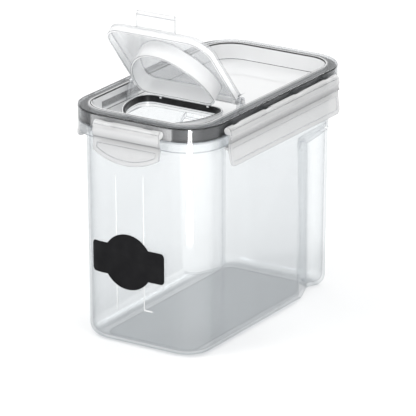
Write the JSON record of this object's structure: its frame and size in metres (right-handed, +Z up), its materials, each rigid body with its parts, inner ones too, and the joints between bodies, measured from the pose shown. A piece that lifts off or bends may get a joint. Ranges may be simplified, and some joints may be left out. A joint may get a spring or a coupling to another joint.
{
  "type": "cereal container with flip spout",
  "caption": "Tall clear storage container with a rounded rectangular body, a latched tray lid with a gasket and a hinged flip-up spout cover.",
  "frame": {"origin": "middle of the footprint, on the ground plane that the container stands on", "axes": "+Z up, -Y towards the front with the spout and the label, +X to the right of someone who looks along +Y at the front"},
  "size_m": [0.1452, 0.2462, 0.2686],
  "materials": {
    "clear_body": "clear, glossy",
    "clear_lid": "clear, glossy",
    "clear_flip": "clear, glossy",
    "frosted_latch": "frosted, half clear",
    "grey_gasket": "smooth soft rubber",
    "black_gasket": "smooth soft rubber",
    "black_label": "matte film"
  },
  "bodies": {
    "container": {"container_body": "clear_body", "lid_shell": "clear_lid", "perimeter_gasket": "grey_gasket", "spout_gasket": "black_gasket", "label": "black_label"},
    "flip_cover": {"flip_lid": "clear_flip"},
    "front_latch": {"latch_front": "frosted_latch"},
    "rear_latch": {"latch_rear": "frosted_latch"},
    "left_latch": {"latch_left": "frosted_latch"},
    "right_latch": {"latch_right": "frosted_latch"}
  },
  "joints": [
    {"name": "flip_hinge", "type": "hinge", "parent": "container", "child": "flip_cover", "pos_m": [0, -0.0345, 0.194], "axis": [-1, 0, 0], "range_deg": [-50, 60]},
    {"name": "front_latch_hinge", "type": "hinge", "parent": "container", "child": "front_latch", "pos_m": [0, -0.1185, 0.1853], "axis": [-1, 0, 0], "range_deg": [0, 100]},
    {"name": "rear_latch_hinge", "type": "hinge", "parent": "container", "child": "rear_latch", "pos_m": [0, 0.1185, 0.1853], "axis": [1, 0, 0], "range_deg": [0, 100]},
    {"name": "left_latch_hinge", "type": "hinge", "parent": "container", "child": "left_latch", "pos_m": [-0.068, 0, 0.1853], "axis": [0, 1, 0], "range_deg": [0, 100]},
    {"name": "right_latch_hinge", "type": "hinge", "parent": "container", "child": "right_latch", "pos_m": [0.068, 0, 0.1853], "axis": [0, -1, 0], "range_deg": [0, 100]}
  ]
}
